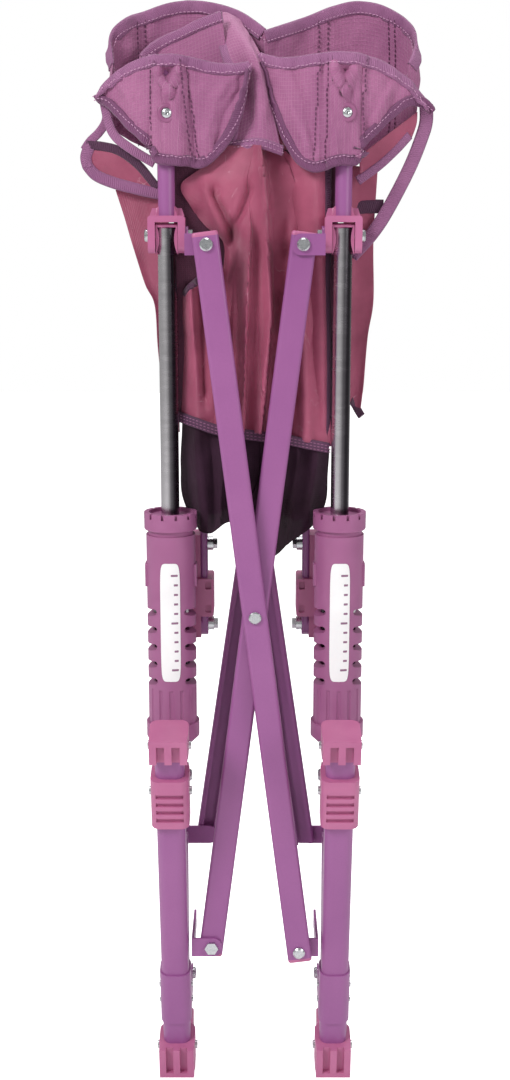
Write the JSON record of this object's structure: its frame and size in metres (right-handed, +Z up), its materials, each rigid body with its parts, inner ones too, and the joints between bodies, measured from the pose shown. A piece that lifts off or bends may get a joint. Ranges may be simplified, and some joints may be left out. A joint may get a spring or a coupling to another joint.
{
  "type": "folding rocking chair",
  "caption": "Folding camp rocking chair, folded upright: crossed painted bars, ground rails and a spring piston on each side, with a fabric seat gathered between the poles.",
  "frame": {"origin": "middle of the folded chair's footprint, on the floor", "axes": "+Z up, +Y towards the front of the chair, +X to the right when looking along +Y; the pistons are on the -Y side"},
  "size_m": [0.276, 0.1624, 0.9259],
  "materials": {
    "purple_paint": "satin powder coat over steel tube",
    "rose_plastic": "smooth moulded nylon, slightly shiny",
    "mauve_plastic": "fine satin moulding",
    "polished_rod": "ground and polished",
    "zinc_steel": "zinc plated",
    "spring_steel": "oiled",
    "coated_fabric": "satin coated polyester",
    "ripstop_fabric": "ripstop polyester",
    "mesh_fabric": "open knitted mesh"
  },
  "bodies": {
    "front_leg_left": {"front_leg_left": "purple_paint", "front_foot_left": "rose_plastic"},
    "front_leg_right": {"front_leg_right": "purple_paint", "front_foot_right": "rose_plastic"},
    "seat": {"seat_sling": "coated_fabric"},
    "rear_cross_pivot": {"rear_cross_pivot": "zinc_steel"},
    "front_cross_pivot": {"front_cross_pivot": "zinc_steel"},
    "rear_cross_near": {"rear_cross_bar_near": "purple_paint", "rear_cross_plugs_near": "rose_plastic", "rear_cross_rivets": "zinc_steel"},
    "rear_cross_far": {"rear_cross_bar_far": "purple_paint", "rear_cross_plugs_far": "rose_plastic"},
    "front_cross_near": {"front_cross_bar_near": "purple_paint"},
    "front_cross_far": {"front_cross_bar_far": "purple_paint"},
    "rear_pole_left": {"rear_pole_left": "purple_paint", "rear_clevis_left": "rose_plastic", "rear_top_bracket_left": "purple_paint", "rear_hub_bolts_left": "zinc_steel"},
    "front_pole_left": {"front_pole_left": "purple_paint"},
    "rear_bracket_left": {"rear_low_bracket_left": "purple_paint", "rear_low_nut_left": "zinc_steel"},
    "side_pivot_left": {"side_pivot_left": "zinc_steel"},
    "long_bar_left": {"side_long_bar_left": "purple_paint"},
    "stay_left": {"side_stay_upper_left": "purple_paint", "side_stay_lower_left": "purple_paint", "side_block_left": "rose_plastic", "side_stay_bolts_left": "zinc_steel"},
    "rail_left": {"rail_left": "purple_paint", "rail_end_caps_left": "rose_plastic", "rail_collar_left": "rose_plastic", "rail_sleeve_left": "zinc_steel", "rail_bolts_left": "zinc_steel"},
    "housing_left": {"piston_housing_left": "mauve_plastic", "piston_cap_left": "mauve_plastic", "piston_spring_left": "spring_steel"},
    "rod_left": {"piston_rod_left": "polished_rod", "rod_plug_left": "rose_plastic"},
    "rear_pole_right": {"rear_pole_right": "purple_paint", "rear_clevis_right": "rose_plastic", "rear_top_bracket_right": "purple_paint", "rear_hub_bolts_right": "zinc_steel"},
    "front_pole_right": {"front_pole_right": "purple_paint"},
    "rear_bracket_right": {"rear_low_bracket_right": "purple_paint"},
    "side_pivot_right": {"side_pivot_right": "zinc_steel"},
    "long_bar_right": {"side_long_bar_right": "purple_paint"},
    "stay_right": {"side_stay_upper_right": "purple_paint", "side_stay_lower_right": "purple_paint", "side_block_right": "rose_plastic", "side_stay_bolts_right": "zinc_steel"},
    "rail_right": {"rail_right": "purple_paint", "rail_end_caps_right": "rose_plastic", "rail_collar_right": "rose_plastic", "rail_sleeve_right": "zinc_steel", "rail_bolts_right": "zinc_steel"},
    "housing_right": {"piston_housing_right": "mauve_plastic", "piston_cap_right": "mauve_plastic", "piston_spring_right": "spring_steel"},
    "rod_right": {"piston_rod_right": "polished_rod", "rod_plug_right": "rose_plastic"}
  },
  "joints": [
    {"name": "unfold", "type": "slide", "parent": "front_leg_left", "child": "seat", "axis": [0.4954, -0.5485, -0.6736], "range_m": [0, 0.4075]},
    {"name": "rear_pole_spread_left", "type": "slide", "parent": "seat", "child": "rear_pole_left", "axis": [-0.6703, -0.7421, 0], "range_m": [0, 0.30135]},
    {"name": "front_pole_spread_left", "type": "slide", "parent": "seat", "child": "front_pole_left", "axis": [-0.6646, 0.7358, 0.1301], "range_m": [0, 0.30394]},
    {"name": "rear_bracket_spread_left", "type": "slide", "parent": "seat", "child": "rear_bracket_left", "axis": [-0.5345, -0.5918, 0.6034], "range_m": [0, 0.37789]},
    {"name": "side_pivot_lift_left", "type": "slide", "parent": "seat", "child": "side_pivot_left", "axis": [-0.8322, -0.0075, 0.5544], "range_m": [0, 0.24271]},
    {"name": "rear_pole_spread_right", "type": "slide", "parent": "seat", "child": "rear_pole_right", "axis": [0.6703, -0.7421, 0], "range_m": [0, 0.30135]},
    {"name": "front_pole_spread_right", "type": "slide", "parent": "seat", "child": "front_pole_right", "axis": [0.6646, 0.7358, 0.1301], "range_m": [0, 0.30394]},
    {"name": "rear_bracket_spread_right", "type": "slide", "parent": "seat", "child": "rear_bracket_right", "axis": [0.5345, -0.5918, 0.6034], "range_m": [0, 0.37789]},
    {"name": "side_pivot_lift_right", "type": "slide", "parent": "seat", "child": "side_pivot_right", "axis": [0.8322, -0.0075, 0.5544], "range_m": [0, 0.24271]},
    {"name": "front_leg_spread_right", "type": "slide", "parent": "seat", "child": "front_leg_right", "axis": [0.4954, 0.5485, 0.6736], "range_m": [0, 0.40772]},
    {"name": "rear_cross_lift", "type": "slide", "parent": "seat", "child": "rear_cross_pivot", "axis": [0, -0.8909, 0.4542], "range_m": [0, 0.25103]},
    {"name": "front_cross_lift", "type": "slide", "parent": "seat", "child": "front_cross_pivot", "axis": [0, 0.8183, 0.5748], "range_m": [0, 0.2733]},
    {"name": "rear_cross_near_turn", "type": "hinge", "parent": "rear_cross_pivot", "child": "rear_cross_near", "pos_m": [0, -0.02212, 0.438], "axis": [0, 1, 0], "range_deg": [-44.48, 0]},
    {"name": "rear_cross_far_turn", "type": "hinge", "parent": "rear_cross_pivot", "child": "rear_cross_far", "pos_m": [0, -0.02212, 0.438], "axis": [0, 1, 0], "range_deg": [0, 44.48]},
    {"name": "front_cross_near_turn", "type": "hinge", "parent": "front_cross_pivot", "child": "front_cross_near", "pos_m": [0, 0.06988, 0.509], "axis": [0, 1, 0], "range_deg": [-43.96, 0]},
    {"name": "front_cross_far_turn", "type": "hinge", "parent": "front_cross_pivot", "child": "front_cross_far", "pos_m": [0, 0.06988, 0.509], "axis": [0, 1, 0], "range_deg": [0, 43.96]},
    {"name": "long_bar_turn_left", "type": "hinge", "parent": "side_pivot_left", "child": "long_bar_left", "pos_m": [-0.078, 0.03728, 0.47321], "axis": [1, 0, 0], "range_deg": [-41.54, 0]},
    {"name": "stay_turn_left", "type": "hinge", "parent": "side_pivot_left", "child": "stay_left", "pos_m": [-0.0715, 0.03728, 0.47321], "axis": [1, 0, 0], "range_deg": [0, 57.86]},
    {"name": "rail_swing_left", "type": "hinge", "parent": "long_bar_left", "child": "rail_left", "pos_m": [-0.071, 0.02305, 0.08403], "axis": [1, 0, 0], "range_deg": [0, 120.58]},
    {"name": "piston_tilt_left", "type": "hinge", "parent": "rear_pole_left", "child": "rod_left", "pos_m": [-0.071, -0.00212, 0.749], "axis": [1, 0, 0], "range_deg": [-27.47, 0]},
    {"name": "long_bar_turn_right", "type": "hinge", "parent": "side_pivot_right", "child": "long_bar_right", "pos_m": [0.078, 0.03728, 0.47321], "axis": [1, 0, 0], "range_deg": [-41.54, 0]},
    {"name": "stay_turn_right", "type": "hinge", "parent": "side_pivot_right", "child": "stay_right", "pos_m": [0.0715, 0.03728, 0.47321], "axis": [1, 0, 0], "range_deg": [0, 57.86]},
    {"name": "rail_swing_right", "type": "hinge", "parent": "long_bar_right", "child": "rail_right", "pos_m": [0.071, 0.02305, 0.08403], "axis": [1, 0, 0], "range_deg": [0, 120.58]},
    {"name": "piston_tilt_right", "type": "hinge", "parent": "rear_pole_right", "child": "rod_right", "pos_m": [0.071, -0.00212, 0.749], "axis": [1, 0, 0], "range_deg": [-27.47, 0]},
    {"name": "rock_left", "type": "slide", "parent": "rod_left", "child": "housing_left", "axis": [0, 0, 1], "range_m": [0, 0.06], "stiffness_N_per_m": 2500, "springref_m": -0.012, "deforming": ["piston_spring_left"]},
    {"name": "rock_right", "type": "slide", "parent": "rod_right", "child": "housing_right", "axis": [0, 0, 1], "range_m": [-0.00001, 0.06001], "stiffness_N_per_m": 2500, "springref_m": -0.012, "deforming": ["piston_spring_right"]}
  ],
  "couplings": [
    {"joint": "rear_pole_spread_left", "follows": "unfold", "ratio": 0.73911},
    {"joint": "front_pole_spread_left", "follows": "unfold", "ratio": 0.74545},
    {"joint": "rear_bracket_spread_left", "follows": "unfold", "ratio": 0.92685},
    {"joint": "side_pivot_lift_left", "follows": "unfold", "ratio": 0.59527},
    {"joint": "rear_pole_spread_right", "follows": "unfold", "ratio": 0.73911},
    {"joint": "front_pole_spread_right", "follows": "unfold", "ratio": 0.74545},
    {"joint": "rear_bracket_spread_right", "follows": "unfold", "ratio": 0.92685},
    {"joint": "side_pivot_lift_right", "follows": "unfold", "ratio": 0.59527},
    {"joint": "front_leg_spread_right", "follows": "unfold", "ratio": 1},
    {"joint": "rear_cross_lift", "follows": "unfold", "ratio": 0.61568},
    {"joint": "front_cross_lift", "follows": "unfold", "ratio": 0.67032},
    {"joint": "rear_cross_near_turn", "follows": "unfold", "rad_per_m": -1.9038},
    {"joint": "rear_cross_far_turn", "follows": "unfold", "rad_per_m": 1.9038},
    {"joint": "front_cross_near_turn", "follows": "unfold", "rad_per_m": -1.8815},
    {"joint": "front_cross_far_turn", "follows": "unfold", "rad_per_m": 1.8815},
    {"joint": "long_bar_turn_left", "follows": "unfold", "rad_per_m": -1.7779},
    {"joint": "stay_turn_left", "follows": "unfold", "rad_per_m": 2.4764},
    {"joint": "rail_swing_left", "follows": "unfold", "rad_per_m": 5.1614},
    {"joint": "piston_tilt_left", "follows": "unfold", "rad_per_m": -1.1757},
    {"joint": "long_bar_turn_right", "follows": "unfold", "rad_per_m": -1.7779},
    {"joint": "stay_turn_right", "follows": "unfold", "rad_per_m": 2.4764},
    {"joint": "rail_swing_right", "follows": "unfold", "rad_per_m": 5.1614},
    {"joint": "piston_tilt_right", "follows": "unfold", "rad_per_m": -1.1757},
    {"joint": "rock_right", "follows": "rock_left", "ratio": 1}
  ]
}
